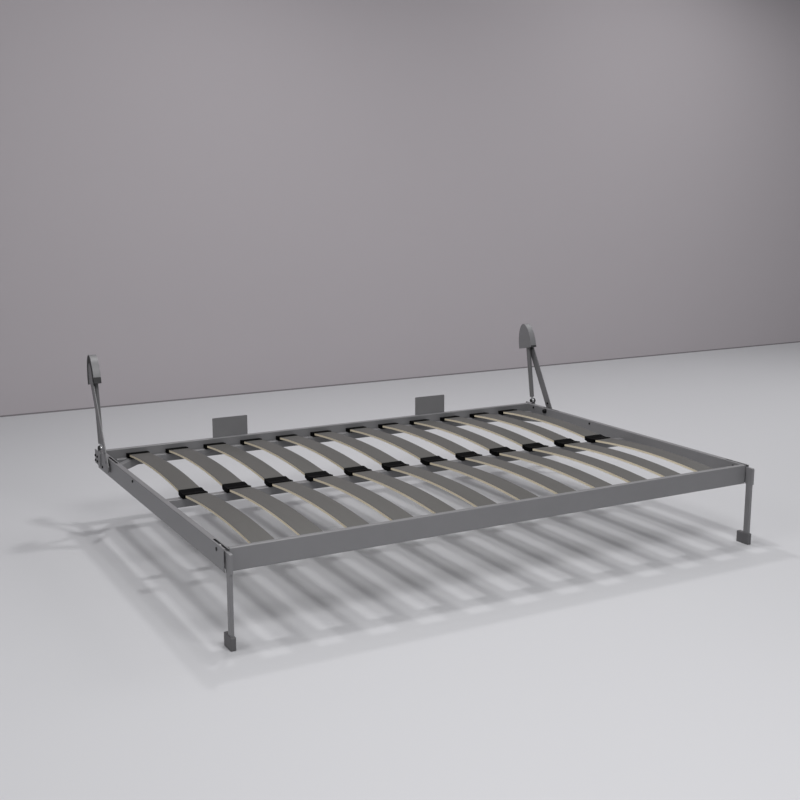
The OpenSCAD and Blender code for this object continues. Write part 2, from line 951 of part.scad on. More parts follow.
// Leg: head on its pin inside the rail, block in front of the rail end, bar down to the foot
module leg() {
    front = -frame_d - leg_front;
    back = -frame_d - 0.5;
    bar_y0 = (front + back) / 2 - leg_w / 2;
    color("dimgray")
        difference() {
            across(leg_x0, leg_x1) {
                translate([leg_y, leg_z])
                    circle(r = leg_head);
                translate([back - leg_r, leg_z - leg_head + 0.5])
                    square([leg_y - back + leg_r, leg_head - 0.5 + leg_over]);
                round_rect(front, rail_low, back, leg_z + leg_over, leg_r);
                translate([bar_y0, foot_floor])
                    square([leg_w, rail_low]);
            }
            bar_x(leg_x0 - 1, leg_x1 + 1, leg_y, leg_z, leg_pin + run_fit);
        }
}

module leg_right() {
    placed()
        leg();
}

module leg_left() {
    mirror([1, 0, 0])
        leg_right();
}

// Foot: rounded boot with a socket for the leg bar
module foot() {
    front = -frame_d - leg_front;
    back = -frame_d - 0.5;
    bar_y0 = (front + back) / 2 - leg_w / 2;
    foot_x0 = rail_mid - foot_w / 2;
    foot_x1 = rail_mid + foot_w / 2;
    foot_back = foot_y + foot_l;
    color("black")
        difference() {
            intersection() {
                across(foot_x0, foot_x1) {
                    round_rect(foot_y, 0, foot_back, foot_h / 2, sole_r);
                    round_rect(foot_y, foot_r, foot_back, foot_h, foot_r);
                }
                translate([0, foot_back + 1, 0])
                    rotate([90, 0, 0])
                        linear_extrude(height = foot_l + 2)
                            round_rect(foot_x0, -foot_edge, foot_x1, foot_h, foot_edge);
                translate([0, 0, -1])
                    linear_extrude(height = foot_h + 2)
                        round_rect(foot_x0, foot_y, foot_x1, foot_back, foot_edge);
            }
            translate([leg_x0 - set_fit, bar_y0 - set_fit, foot_floor - set_fit])
                cube([leg_t + 2 * set_fit, leg_w + 2 * set_fit, foot_h]);
        }
}

module foot_right() {
    placed()
        foot();
}

module foot_left() {
    mirror([1, 0, 0])
        foot_right();
}

arm_left();
arm_right();
cover_left();
cover_right();
pivot_pins();
pivot_nuts();
rail_left();
rail_right();
rail_front();
rail_back();
centre_beam();
ledge_front();
ledge_back();
corner_braces();
mattress_stops();
strut_bracket_left();
strut_bracket_right();
strut_pins();
leg_pins();
pivot_bushes();
rail_bolts();
slat_holders_back();
slat_holders_centre();
slat_holders_front();
strut_rod_left();
strut_rod_right();
strut_eye_left();
strut_eye_right();
strut_tube_left();
strut_tube_right();
strut_top_pin_left();
strut_top_pin_right();
leg_left();
leg_right();
foot_left();
foot_right();
for (i = [1:slat_count]) {
    slat_back(i);
    slat_front(i);
}
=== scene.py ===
import json
import math

import bmesh
import bpy
from bpy.props import FloatProperty, FloatVectorProperty, IntProperty, PointerProperty
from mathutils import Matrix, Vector


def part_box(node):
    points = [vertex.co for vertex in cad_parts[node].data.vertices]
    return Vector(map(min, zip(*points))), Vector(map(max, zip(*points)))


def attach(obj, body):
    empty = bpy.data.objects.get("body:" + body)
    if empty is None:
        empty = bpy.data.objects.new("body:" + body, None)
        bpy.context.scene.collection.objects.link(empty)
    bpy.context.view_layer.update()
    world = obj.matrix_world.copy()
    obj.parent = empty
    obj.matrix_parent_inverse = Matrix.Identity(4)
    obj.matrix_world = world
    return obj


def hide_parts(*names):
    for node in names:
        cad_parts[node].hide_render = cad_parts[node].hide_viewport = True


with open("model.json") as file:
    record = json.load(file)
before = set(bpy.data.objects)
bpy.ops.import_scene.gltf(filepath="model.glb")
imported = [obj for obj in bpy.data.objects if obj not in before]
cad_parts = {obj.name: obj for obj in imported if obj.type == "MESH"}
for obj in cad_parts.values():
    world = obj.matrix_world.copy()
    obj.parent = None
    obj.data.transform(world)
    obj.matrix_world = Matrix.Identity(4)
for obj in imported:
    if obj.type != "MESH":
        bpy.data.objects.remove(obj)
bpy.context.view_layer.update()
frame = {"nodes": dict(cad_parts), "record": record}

bl_info = {
    "name": "Fold down wall bed looks",
    "version": (1, 0, 0),
    "blender": (4, 5, 0),
    "location": "3D View > Sidebar > Wall bed",
    "description": "Finishes, small parts and studio for a fold down slatted bed frame",
    "category": "Object",
}

BED_MIDDLE_Y = (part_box("centre_beam")[0][1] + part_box("centre_beam")[1][1]) / 2

# Bolts of a side rail: distance behind the rail's back end, and height over its lower edge
BRACKET_BOLTS = ((-0.008, 0.028), (-0.008, 0.047), (0.020, 0.028), (0.020, 0.047))
INNER_BOLTS = ((-0.480, 0.0575), (-0.063, 0.0575))
OUTER_BOLTS = ((-0.480, 0.0575), (-0.064, 0.017))
# Bolts of the mattress stops: places along the bed, and height over the rail's lower edge
STOP_BOLTS_X = (-0.525, -0.425, 0.425, 0.525)
STOP_BOLT_Z = 0.035

# Shares of an arm's width: overlap of its bar with its head, and rounding of its lower end
ARM_OVERLAP = 1 / 3
ARM_ROUND = 0.499
# Distance of a screw plate from the outside of its cover, in walls of the cover
PLATE_CLEAR = 1.2
# Shares of a band's thickness: rounding of its edges, and width of the rim round its sunk face
BAND_ROUND = 0.6
BAND_RIM = 3

# Shares of a bolt's or nut's height: rounding of the head, chamfer of the nut, sinking of the nut's face
BOLT_ROUND = 0.6
NUT_CHAMFER = 0.14
NUT_SINK = 0.1
# Shares of their radius: socket of the head, rim of the nut
BOLT_SOCKET = 0.42
NUT_RIM = 0.3

# Weld beads: ripples along a bead, its width at a neck and at its ends, and its height over a rail's middle
WELD_RIPPLES = 15
WELD_NECK = 0.84
WELD_END = 0.55
WELD_HIGH = 0.017

# Facets of rings and ovals
RING_SIDES = 36
OVAL_SIDES = 72
# Selections: share of a length that counts as its end, least part of a normal along an axis, and no distance
END_SHARE = 0.99
FACING = 0.99
NO_DISTANCE = 0.00001
# Edges flatter than this are shaded smooth, in degrees
SMOOTH_ANGLE = 35

# Name, place, aim, width and power of each lamp
LAMPS = (
    ("overhead_lamp", (0.0, 0.1, 3.6), (0.0, 0.1, 0.0), 0.32, 26),
    ("rear_lamp", (0.5, 1.6, 3.4), (0.0, -0.1, 0.0), 0.3, 26),
    ("front_lamp", (-0.5, -3.0, 3.2), (-0.5, -3.0, 0.0), 2.0, 78),
    ("left_lamp", (-3.2, -0.8, 2.6), (0.0, -0.5, 0.2), 2.0, 24),
    ("right_lamp", (3.9, 0.7, 3.2), (3.3, 0.5, 0.0), 3.4, 56),
)
SKY_COLOUR = (0.97, 0.98, 1.0, 1)
SKY_STRENGTH = 0.27
STAGE_WIDTH = 24
FLOOR_DROP = 0.0005
# Stand off the wall of the painted shadow strip at the wall's foot
JOINT_SHADOW_PROUD = 0.001

# Camera of the photo, worked out from the corners of the frame, with its angles in degrees
CAMERA_PLACE = (-2.07681, -3.65407, 1.31387)
CAMERA_DOWN = 10.78
CAMERA_TURN = -28.96
CAMERA_SENSOR = 36
CAMERA_LENS = 51.23


# ---------------------------------------------------------------- finishes


class Socket:
    """One output of a finish's node. Python's own operators add Math nodes to it."""

    def __init__(self, finish, output):
        self.finish = finish
        self.output = output

    def maths(self, operation, *values):
        return self.finish.node("ShaderNodeMath", {"operation": operation}, dict(enumerate(values)))

    def __add__(self, other):
        return self.maths("ADD", self, other)

    def __radd__(self, other):
        return self.maths("ADD", other, self)

    def __sub__(self, other):
        return self.maths("SUBTRACT", self, other)

    def __rsub__(self, other):
        return self.maths("SUBTRACT", other, self)

    def __mul__(self, other):
        return self.maths("MULTIPLY", self, other)

    def __truediv__(self, other):
        return self.maths("DIVIDE", self, other)

    def __pow__(self, other):
        return self.maths("POWER", self, other)

    def __gt__(self, other):
        return self.maths("GREATER_THAN", self, other)

    def __mod__(self, other):
        return self.maths("FLOORED_MODULO", self, other)

    def __abs__(self):
        return self.maths("ABSOLUTE", self)


class Finish:
    """A procedural material under construction."""

    def __init__(self, name, **constants):
        self.material = bpy.data.materials.new(name)
        self.material.use_nodes = True
        self.tree = self.material.node_tree
        self.shader = self.tree.nodes["Principled BSDF"]
        for key, value in constants.items():
            self.shader.inputs[key.replace("_", " ")].default_value = value

    def node(self, kind, settings=None, inputs=None, output=0):
        made = self.tree.nodes.new(kind)
        for key, value in (settings or {}).items():
            if key == "stops":
                self.set_stops(made.color_ramp, value)
            else:
                setattr(made, key, value)
        for key, value in (inputs or {}).items():
            self.feed(made.inputs[key], value)
        return Socket(self, made.outputs[output])

    @staticmethod
    def set_stops(ramp, stops):
        while len(ramp.elements) < len(stops):
            ramp.elements.new(1.0)
        for element, (place, grey) in zip(ramp.elements, stops):
            element.position = place
            element.color = (grey, grey, grey, 1)

    def feed(self, socket, value):
        if isinstance(value, Socket):
            self.tree.links.new(value.output, socket)
        else:
            socket.default_value = value

    def place(self, scale=(1, 1, 1), turn=(0, 0, 0)):
        """Object coordinates, stretched and turned for a pattern."""
        coords = self.node("ShaderNodeTexCoord", output="Object")
        return self.node("ShaderNodeMapping", None, {"Vector": coords, "Rotation": turn, "Scale": scale})

    def noise(self, vector, scale, detail=2.0, rough=0.5):
        values = {"Vector": vector, "Scale": scale, "Detail": detail, "Roughness": rough}
        return self.node("ShaderNodeTexNoise", None, values, "Fac")

    def ramp(self, value, stops):
        return self.node("ShaderNodeValToRGB", {"stops": stops}, {"Fac": value})

    def blend(self, factor, first, second):
        settings = {"data_type": "RGBA", "clamp_factor": True}
        return self.node("ShaderNodeMix", settings, {0: factor, 6: first, 7: second}, 2)

    def along(self, vector, axis):
        return self.node("ShaderNodeSeparateXYZ", None, {0: vector}, axis)

    def rounded(self, radius):
        """Normal of the surface with its edges rounded, and how near an edge is."""
        soft = self.node("ShaderNodeBevel", {"samples": 6}, {"Radius": radius})
        flat = self.node("ShaderNodeNewGeometry", output="True Normal")
        same = self.node("ShaderNodeVectorMath", {"operation": "DOT_PRODUCT"}, {0: soft, 1: flat}, "Value")
        return soft, 1 - same

    def bump(self, height, strength, distance, normal):
        values = {"Height": height, "Strength": strength, "Distance": distance, "Normal": normal}
        return self.node("ShaderNodeBump", None, values)

    def done(self, colour=None, roughness=None, normal=None, metallic=None):
        inputs = {"Base Color": colour, "Roughness": roughness, "Normal": normal, "Metallic": metallic}
        for key, value in inputs.items():
            if value is not None:
                self.feed(self.shader.inputs[key], value)
        return self.material


def shade(colour, factor):
    """A lighter or darker form of a colour, as RGBA."""
    return tuple(min(1.0, channel * factor) for channel in colour) + (1.0,)


def coat_finish(name, colour, rough=0.4, edge=0.0012):
    """Powder coat on steel: orange peel, cloudy gloss, and a painted highlight that lightens the edges."""
    finish = Finish(name, Specular_IOR_Level=0.75)
    here = finish.place()
    peel = finish.noise(here, 520.0, 2.0)
    speck = finish.noise(here, 1900.0, 1.0)
    cloud = finish.noise(here, 7.0, 4.0, 0.6)
    soft, rim = finish.rounded(edge)
    tone = finish.ramp(cloud * 0.7 + speck * 0.3, [(0.3, 0.0), (0.7, 1.0)])
    ground = finish.blend(tone, shade(colour, 0.94), shade(colour, 1.06))
    # Lighter towards every edge: a painted highlight where the edges catch the light.
    colour_out = finish.blend(finish.ramp(rim, [(0.02, 0.0), (0.25, 0.45)]), ground, shade(colour, 1.25))
    gloss = rough - 0.06 + cloud * 0.1 + speck * 0.05
    normal = finish.bump(peel + speck * 0.3, 0.12, 0.0006, soft)
    return finish.done(colour_out, gloss, normal)


def moulded_finish(name, colour, rough=0.5, grain=1400.0, edge=0.0012, sheen=0.4):
    """Moulded plastic with a fine spark grain and a painted highlight that lightens the edges."""
    finish = Finish(name, Specular_IOR_Level=sheen)
    here = finish.place()
    fine = finish.noise(here, grain, 2.0)
    cloud = finish.noise(here, 30.0, 3.0, 0.6)
    soft, rim = finish.rounded(edge)
    ground = finish.blend(cloud, shade(colour, 0.85), shade(colour, 1.2))
    # Much lighter towards every edge: a painted highlight.
    colour_out = finish.blend(finish.ramp(rim, [(0.03, 0.0), (0.3, 0.6)]), ground, shade(colour, 2.0))
    gloss = rough - 0.08 + cloud * 0.12 + fine * 0.08
    return finish.done(colour_out, gloss, finish.bump(fine, 0.25, 0.0003, soft))


def oxide_finish(name, colour):
    """Black oxide on steel fasteners, with a painted highlight that turns the edges grey."""
    finish = Finish(name, Metallic=0.7)
    here = finish.place()
    fine = finish.noise(here, 900.0, 3.0)
    soft, rim = finish.rounded(0.0006)
    ground = finish.blend(fine, shade(colour, 0.8), shade(colour, 1.4))
    # Grey towards every edge: a painted highlight.
    colour_out = finish.blend(finish.ramp(rim, [(0.05, 0.0), (0.4, 0.5)]), ground, shade(colour, 4.0))
    return finish.done(colour_out, 0.3 + fine * 0.2, finish.bump(fine, 0.1, 0.0002, soft))


def plated_finish(name, colour, rough, ring):
    """Bright plated steel with cloudy gloss and fine turning marks round the axis."""
    finish = Finish(name)
    cloud = finish.noise(finish.place(), 60.0, 4.0, 0.6)
    marks = finish.noise(finish.place((8.0, 8.0, 2600.0), (0.16, 0, 0)), 1.0, 2.0)
    soft, rim = finish.rounded(0.0005)
    colour_out = finish.blend(cloud, shade(colour, 0.88), shade(colour, 1.06))
    gloss = rough - 0.05 + cloud * 0.14 + marks * ring
    metal = 1 - rim * 0.1
    return finish.done(colour_out, gloss, finish.bump(marks, 0.05, 0.0001, soft), metal)


def slat_finish(name, looks):
    """Plywood slat: grey film with a printed grain on its faces, bare plies on its long edges."""
    finish = Finish(name, Specular_IOR_Level=0.4)
    here = finish.place()
    soft, rim = finish.rounded(0.0009)

    pores = finish.noise(finish.place((900.0, 26.0, 900.0)), 1.0, 3.0, 0.55)
    bands = finish.noise(finish.place((60.0, 2.2, 60.0)), 1.0, 3.0, 0.5)
    cross = finish.noise(finish.place((14.0, 480.0, 14.0)), 1.0, 2.0, 0.5)
    print_tone = finish.ramp(pores * 0.5 + bands * 0.3 + cross * 0.2, [(0.36, 0.0), (0.64, 1.0)])
    film = finish.blend(print_tone, shade(looks.film, 0.88), shade(looks.film, 1.1))

    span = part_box("slat_back_01")
    chord = span[1][1] - span[0][1]
    radius = (chord * chord / 4 + looks.slat_rise**2) / (2 * looks.slat_rise)
    row = abs((span[0][1] + span[1][1]) / 2 - BED_MIDDLE_Y)
    from_row = abs(finish.along(here, 1) - BED_MIDDLE_Y) - row
    from_centre = finish.along(here, 2) - (span[1][2] - radius)
    depth = radius - (from_row * from_row + from_centre * from_centre) ** 0.5
    ply = depth / (looks.slat_thickness / looks.plies)
    wave = finish.noise(finish.place((300.0, 12.0, 300.0)), 1.0, 2.0)
    light_ply = ((ply + wave * 0.3) % 2.0) > 1.0
    fibres = finish.noise(finish.place((200.0, 40.0, 2400.0)), 1.0, 3.0, 0.6)
    wood = finish.blend(light_ply, looks.ply_dark[:] + (1,), looks.ply_light[:] + (1,))
    wood = finish.blend(fibres * 0.3, wood, shade(looks.ply_dark, 0.8))

    facing = finish.node("ShaderNodeNewGeometry", output="True Normal")
    side = abs(finish.along(facing, 0)) > 0.6
    colour_out = finish.blend(side, film, wood)
    gloss = 0.46 + side * 0.2 + print_tone * 0.06
    relief = pores * (1 - side) + fibres * side * 1.5
    return finish.done(colour_out, gloss, finish.bump(relief, 0.15, 0.0004, soft))


def stage_finish(name, colour):
    """Even paint of the studio with a faint cloud, clear from behind so that it hides nothing."""
    finish = Finish(name, Roughness=0.9, Specular_IOR_Level=0.1)
    cloud = finish.noise(finish.place(), 0.6, 2.0)
    behind = finish.node("ShaderNodeNewGeometry", output="Backfacing")
    finish.feed(finish.shader.inputs["Alpha"], 1 - behind)
    return finish.done(finish.blend(cloud, shade(colour, 0.985), shade(colour, 1.015)))


def dress(slot, material):
    """Gives every solid of one of the record's slots its finish."""
    for part in frame["record"]["subparts"]:
        if part["material_slot"] == slot:
            for holder in frame["nodes"][part["node"]].material_slots:
                holder.material = material


# ---------------------------------------------------------------- settings


def colour_setting(name, description, default):
    return FloatVectorProperty(
        name=name, description=description, default=default, size=3, min=0, max=1, subtype="COLOR"
    )


def length_setting(name, description, default):
    return FloatProperty(
        name=name, description=description, default=default, min=0, unit="LENGTH", precision=4
    )


def angle_setting(name, description, default):
    return FloatProperty(
        name=name, description=description, default=math.radians(default), subtype="ANGLE"
    )


class BedLooks(bpy.types.PropertyGroup):
    """Colours and sizes of the bed's visible detail"""

    coat: colour_setting("Coat", "Powder coat of the frame and legs", (0.19, 0.188, 0.195))
    # The arms' coat is the frame's coat darkened: painted shade, as the arms catch less light.
    arm: colour_setting("Arm", "Powder coat of the arms", (0.152, 0.15, 0.156))
    cover: colour_setting("Cover", "Paint of the strut covers", (0.184, 0.182, 0.189))
    strut: colour_setting("Strut", "Paint of the strut tubes", (0.137, 0.135, 0.14))
    film: colour_setting("Film", "Grey film of the slats", (0.092, 0.0892, 0.0833))
    ply_light: colour_setting("Light ply", "Long grain plies on the slat edges", (0.93, 0.89, 0.73))
    ply_dark: colour_setting("Dark ply", "Cross grain plies on the slat edges", (0.74, 0.61, 0.42))
    holder: colour_setting("Holder", "Moulded slat holders", (0.0022, 0.0022, 0.0024))
    foot: colour_setting("Foot", "Moulded feet", (0.115, 0.113, 0.118))
    oxide: colour_setting("Fastener", "Black fasteners", (0.014, 0.014, 0.015))
    zinc: colour_setting("Pin", "Zinc plated pins", (0.56, 0.56, 0.57))
    chrome: colour_setting("Rod", "Chromed strut rods", (0.72, 0.72, 0.73))
    nylon: colour_setting("Bush", "Nylon pivot bushes", (0.01, 0.01, 0.011))
    # Near black on the screw plates is painted shade: the shaded inside of each cover.
    plate: colour_setting("Screw plate", "Dark screw plates inside the covers", (0.012, 0.012, 0.013))
    # The dark bands at the feet of the covers are painted shade on the lower edge of the front walls.
    band: colour_setting("Band", "Dark bands at the feet of the covers", (0.035, 0.034, 0.036))
    slat_thickness: length_setting("Slat thickness", "Thickness of a slat", 0.008)
    slat_rise: length_setting("Slat rise", "Rise of a slat at its middle", 0.0185)
    plies: IntProperty(name="Plies", description="Plies in a slat", default=6, min=3, max=11)


class BedSizes(bpy.types.PropertyGroup):
    """Sizes of the modelled pieces"""

    arm_width: length_setting("Arm width", "Width of an arm's bar", 0.036)
    arm_tail: length_setting("Arm tail", "Length of an arm below its pivot, less its round end", 0.024)
    arm_lean: angle_setting("Arm lean", "Lean of an arm to the wall", 30)
    cover_y: length_setting("Cover place", "Depth of the middle of a cover's open base", 0.693119)
    cover_z: length_setting("Cover height", "Height of the middle of a cover's open base", 0.555)
    cover_half: length_setting("Cover half width", "Half the width of a cover at its base", 0.05)
    cover_rise: length_setting("Cover rise", "Height of a cover over its base", 0.113)
    cover_wall: length_setting("Cover wall", "Wall of a cover", 0.0016)
    cover_lean: angle_setting("Cover lean", "Lean of a cover to the wall", 11.1)
    head_half: length_setting("Head half width", "Half the width of the grey head of an arm", 0.026)
    head_rise: length_setting("Head rise", "Height of the grey head of an arm", 0.08)
    plate_share: FloatProperty(
        name="Plate share",
        description="Thickness of the screw plate as a share of the arm's",
        default=0.5,
        min=0.2,
        max=0.9,
    )
    screw_radius: length_setting("Screw hole", "Radius of the plate's screw holes", 0.0033)
    screw_y: length_setting("Screw place", "Depth of the middle of the screw holes", 0.689219)
    screw_z: length_setting("Screw height", "Height of the middle of the screw holes", 0.583)
    screw_dy: length_setting("Screw spacing", "Spacing of the screw holes along the depth", 0.052)
    screw_dz: length_setting("Screw row spacing", "Spacing of the screw holes up the plate", 0.024)
    low_screw: length_setting("Low screw", "Distance of the low screw hole from the pivot", 0.036)
    low_radius: length_setting("Low screw hole", "Radius of the low screw hole", 0.0042)
    band_left: length_setting("Left band", "Height of the dark band on the left cover", 0.024)
    band_right: length_setting("Right band", "Height of the dark band on the right cover", 0.009)
    band_proud: length_setting("Band thickness", "Thickness of that band outside the wall", 0.0008)
    bolt_radius: length_setting("Bolt radius", "Shank of the frame's bolts", 0.003)
    bolt_head: length_setting("Bolt head", "Head radius of the frame's bolts", 0.005)
    bolt_height: length_setting("Bolt head height", "Head height of the frame's bolts", 0.0035)
    bolt_shank: length_setting("Bolt shank", "Shank length of the frame's bolts", 0.0085)
    nut_radius: length_setting("Nut radius", "Corner radius of the bracket nuts", 0.0058)
    weld_radius: length_setting("Weld radius", "Radius of a weld bead", 0.0022)
    weld_length: length_setting("Weld length", "Length of a weld bead", 0.027)
    bush_radius: length_setting("Strut bush radius", "Radius of the black bush on a bracket's eye", 0.0108)
    bush_bore: length_setting("Strut bush bore", "Bore of that bush", 0.007)
    bush_proud: length_setting("Strut bush stand", "What that bush adds to its bracket's thickness", 0.0012)
    bush_rim: length_setting("Strut bush rim", "Rounding of that bush's edges", 0.0006)
    washer_radius: length_setting("Washer radius", "Radius of the washer round a strut pin's head", 0.0082)
    washer_bore: length_setting("Washer bore", "Bore of that washer", 0.0067)
    washer_thick: length_setting("Washer thickness", "Thickness of that washer", 0.0025)
    washer_rim: length_setting("Washer rim", "Rounding of that washer's edges", 0.0003)
    washer_gap: length_setting("Washer gap", "Gap between that washer and the strut's eye", 0.0003)


class BedStudio(bpy.types.PropertyGroup):
    """Floor, wall, lamps and camera"""

    floor: colour_setting("Floor", "Pale studio floor", (0.585, 0.585, 0.604))
    wall: colour_setting("Wall", "Studio wall", (0.48, 0.447, 0.469))
    wall_y: length_setting("Wall distance", "Distance of the wall behind the middle of the bed", 3.03)
    # A dark strip at the wall's foot is a painted contact shadow between wall and floor.
    joint: length_setting("Joint", "Height of the dark joint between wall and floor", 0.009)
    joint_shadow_tone: colour_setting("Joint tone", "Dark joint between wall and floor", (0.24, 0.224, 0.235))


# ---------------------------------------------------------------- modelling


def bolt_places(pairs, rail):
    """Depth and height of bolts that are given from a side rail's back end and lower edge."""
    return [(rail[1][1] + y, rail[0][2] + z) for y, z in pairs]


def centre(node):
    """Middle of a node's box."""
    low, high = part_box(node)
    return Vector([(a + b) / 2 for a, b in zip(low, high)])


def low_screw_place(sizes):
    """Depth and height of an arm's low screw."""
    pivot = centre("pivot_pins")
    along = sizes.low_screw
    return pivot.y + along * math.sin(sizes.arm_lean), pivot.z + along * math.cos(sizes.arm_lean)


def alone(piece):
    """Makes a piece the only one selected."""
    bpy.ops.object.select_all(action="DESELECT")
    piece.select_set(True)
    bpy.context.view_layer.objects.active = piece
    return piece


def discard(piece):
    alone(piece)
    bpy.ops.object.delete()


def block(name, size, place):
    """Box whose middle is at a place."""
    bpy.ops.object.select_all(action="DESELECT")
    bpy.ops.mesh.primitive_cube_add(size=1, location=place, scale=size)
    bpy.ops.object.transform_apply(location=True, rotation=True, scale=True)
    bpy.context.object.name = name
    return bpy.context.object


def rod(name, radius, depth, place=(0, 0, 0), along=(0, 0, 1), sides=24):
    """Cylinder whose middle is at a place."""
    turn = Vector((0, 0, 1)).rotation_difference(Vector(along)).to_euler()
    bpy.ops.object.select_all(action="DESELECT")
    bpy.ops.mesh.primitive_cylinder_add(
        vertices=sides, radius=radius, depth=depth, location=place, rotation=turn
    )
    bpy.ops.object.transform_apply(location=True, rotation=True, scale=True)
    bpy.context.object.name = name
    return bpy.context.object


def half_oval(name, half, rise, thick):
    """Plate in the shape of the upper half of an oval, standing on the origin."""
    plate = rod(name, 1, thick, (0, 0, 0), (1, 0, 0), OVAL_SIDES)
    plate.scale = (1, half, rise)
    bpy.ops.object.transform_apply(location=True, rotation=True, scale=True)
    bpy.ops.object.mode_set(mode="EDIT")
    bpy.ops.mesh.select_all(action="SELECT")
    bpy.ops.mesh.bisect(plane_co=(0, 0, 0), plane_no=(0, 0, 1), use_fill=True, clear_inner=True)
    close()
    return plate


def choose(piece, kind, test):
    """Opens a piece and selects its faces by centre and normal, or its edges by their two ends."""
    alone(piece)
    bpy.ops.object.mode_set(mode="EDIT")
    bpy.ops.mesh.select_mode(type=kind)
    bpy.ops.mesh.select_all(action="DESELECT")
    mesh = bmesh.from_edit_mesh(piece.data)
    if kind == "FACE":
        chosen = [face for face in mesh.faces if test(face.calc_center_median(), face.normal)]
    else:
        chosen = [edge for edge in mesh.edges if test(edge.verts[0].co, edge.verts[1].co)]
    if not chosen:
        raise RuntimeError("nothing to select on " + piece.name)
    for item in chosen:
        item.select_set(True)
    bmesh.update_edit_mesh(piece.data)


def close():
    """Leaves edit mode."""
    bpy.ops.object.mode_set(mode="OBJECT")


def turned(piece, angle, place):
    """Turns a piece about X through the origin, then moves it."""
    alone(piece)
    piece.rotation_euler = (angle, 0, 0)
    piece.location = place
    bpy.ops.object.transform_apply(location=True, rotation=True, scale=True)
    return piece


def combine(piece, other, operation):
    """Cuts or joins one solid with another, which is used up."""
    alone(piece)
    modifier = piece.modifiers.new("combine", "BOOLEAN")
    modifier.operation = operation
    modifier.solver = "EXACT"
    modifier.object = other
    bpy.ops.object.modifier_apply(modifier=modifier.name)
    discard(other)
    return piece


def copied(piece, place, along=(0, 0, 1)):
    """A copy of a piece that points up Z, set at a place and turned along a direction."""
    alone(piece)
    bpy.ops.object.duplicate()
    copy = bpy.context.object
    copy.rotation_euler = Vector((0, 0, 1)).rotation_difference(Vector(along)).to_euler()
    copy.location = place
    bpy.ops.object.transform_apply(location=True, rotation=True, scale=True)
    return copy


def mirrored(piece, name):
    """A copy on the other side of the bed."""
    alone(piece)
    bpy.ops.object.duplicate()
    copy = bpy.context.object
    copy.scale = (-1, 1, 1)
    bpy.ops.object.transform_apply(location=True, rotation=True, scale=True)
    outward(copy)
    copy.name = name
    return copy


def outward(piece):
    """Points all of a piece's normals out."""
    alone(piece)
    bpy.ops.object.mode_set(mode="EDIT")
    bpy.ops.mesh.select_all(action="SELECT")
    bpy.ops.mesh.normals_make_consistent(inside=False)
    close()


def joined(name, pieces):
    """One piece of several, under a new name."""
    bpy.ops.object.select_all(action="DESELECT")
    for piece in pieces:
        piece.select_set(True)
    bpy.context.view_layer.objects.active = pieces[0]
    bpy.ops.object.join()
    pieces[0].name = name
    return pieces[0]


def finished(piece, material, slot, body, *nodes):
    """Softens a piece's shading, gives it its finish and sets it on its body."""
    alone(piece)
    bpy.ops.object.shade_smooth_by_angle(angle=math.radians(SMOOTH_ANGLE))
    piece.data.name = piece.name
    piece.data.materials.clear()
    piece.data.materials.append(material)
    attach(piece, body)
    if nodes:
        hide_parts(*nodes)


# ---------------------------------------------------------------- studio


def stage_sheet(name, size, place, turn, material):
    """Flat sheet of the studio."""
    bpy.ops.object.select_all(action="DESELECT")
    bpy.ops.mesh.primitive_plane_add(size=1, location=place, rotation=turn)
    sheet = bpy.context.object
    sheet.scale = size
    bpy.ops.object.transform_apply(location=True, rotation=True, scale=True)
    sheet.name = name
    sheet.data.materials.append(material)


def lamp(name, place, aim, size, power):
    """Round soft lamp that points at its aim."""
    bpy.ops.object.light_add(type="AREA", location=place)
    light = bpy.context.object
    light.name = name
    light.data.shape = "DISK"
    light.data.size = size
    light.data.energy = power
    light.rotation_euler = (Vector(aim) - Vector(place)).to_track_quat("-Z", "Y").to_euler()


# ---------------------------------------------------------------- operators


class BED_OT_coated_steel(bpy.types.Operator):
    """Coats the rails, ledges, beam, brackets, stops and legs"""

    bl_idname = "bed.coated_steel"
    bl_label = "Coated steel"

    def execute(self, context):
        dress("coated_steel", coat_finish("powder_coat", context.scene.bed_looks.coat))
        return {"FINISHED"}


class BED_OT_strut_covers(bpy.types.Operator):
    """Paints the covers over the strut heads"""

    bl_idname = "bed.strut_covers"
    bl_label = "Strut covers"

    def execute(self, context):
        dress("cover_plastic", coat_finish("cover_paint", context.scene.bed_looks.cover, edge=0.0022))
        return {"FINISHED"}


class BED_OT_gas_struts(bpy.types.Operator):
    """Paints the strut tubes and brightens the rods and pins"""

    bl_idname = "bed.gas_struts"
    bl_label = "Gas struts"

    def execute(self, context):
        looks = context.scene.bed_looks
        dress("strut_paint", coat_finish("strut_paint", looks.strut, 0.36))
        dress("chromed_rod", plated_finish("chromed_rod", looks.chrome, 0.12, 0.06))
        dress("zinc_steel", plated_finish("zinc_plate", looks.zinc, 0.32, 0.1))
        return {"FINISHED"}


class BED_OT_slats(bpy.types.Operator):
    """Faces the slats with film and lays bare their plies"""

    bl_idname = "bed.slats"
    bl_label = "Slats"

    def execute(self, context):
        dress("slat_plywood", slat_finish("film_faced_ply", context.scene.bed_looks))
        return {"FINISHED"}


class BED_OT_mouldings(bpy.types.Operator):
    """Gives the slat holders, feet and bushes their plastics"""

    bl_idname = "bed.mouldings"
    bl_label = "Mouldings"

    def execute(self, context):
        looks = context.scene.bed_looks
        dress("holder_plastic", moulded_finish("holder_plastic", looks.holder, 0.62, sheen=0.03))
        dress("foot_plastic", moulded_finish("foot_plastic", looks.foot, 0.55, 1100.0, 0.0015))
        dress("nylon", moulded_finish("nylon", looks.nylon, 0.4, 700.0))
        return {"FINISHED"}


class BED_OT_fasteners(bpy.types.Operator):
    """Blackens the bolts, nuts and pivot pins"""

    bl_idname = "bed.fasteners"
    bl_label = "Fasteners"

    def execute(self, context):
        dress("black_fasteners", oxide_finish("black_oxide", context.scene.bed_looks.oxide))
        return {"FINISHED"}


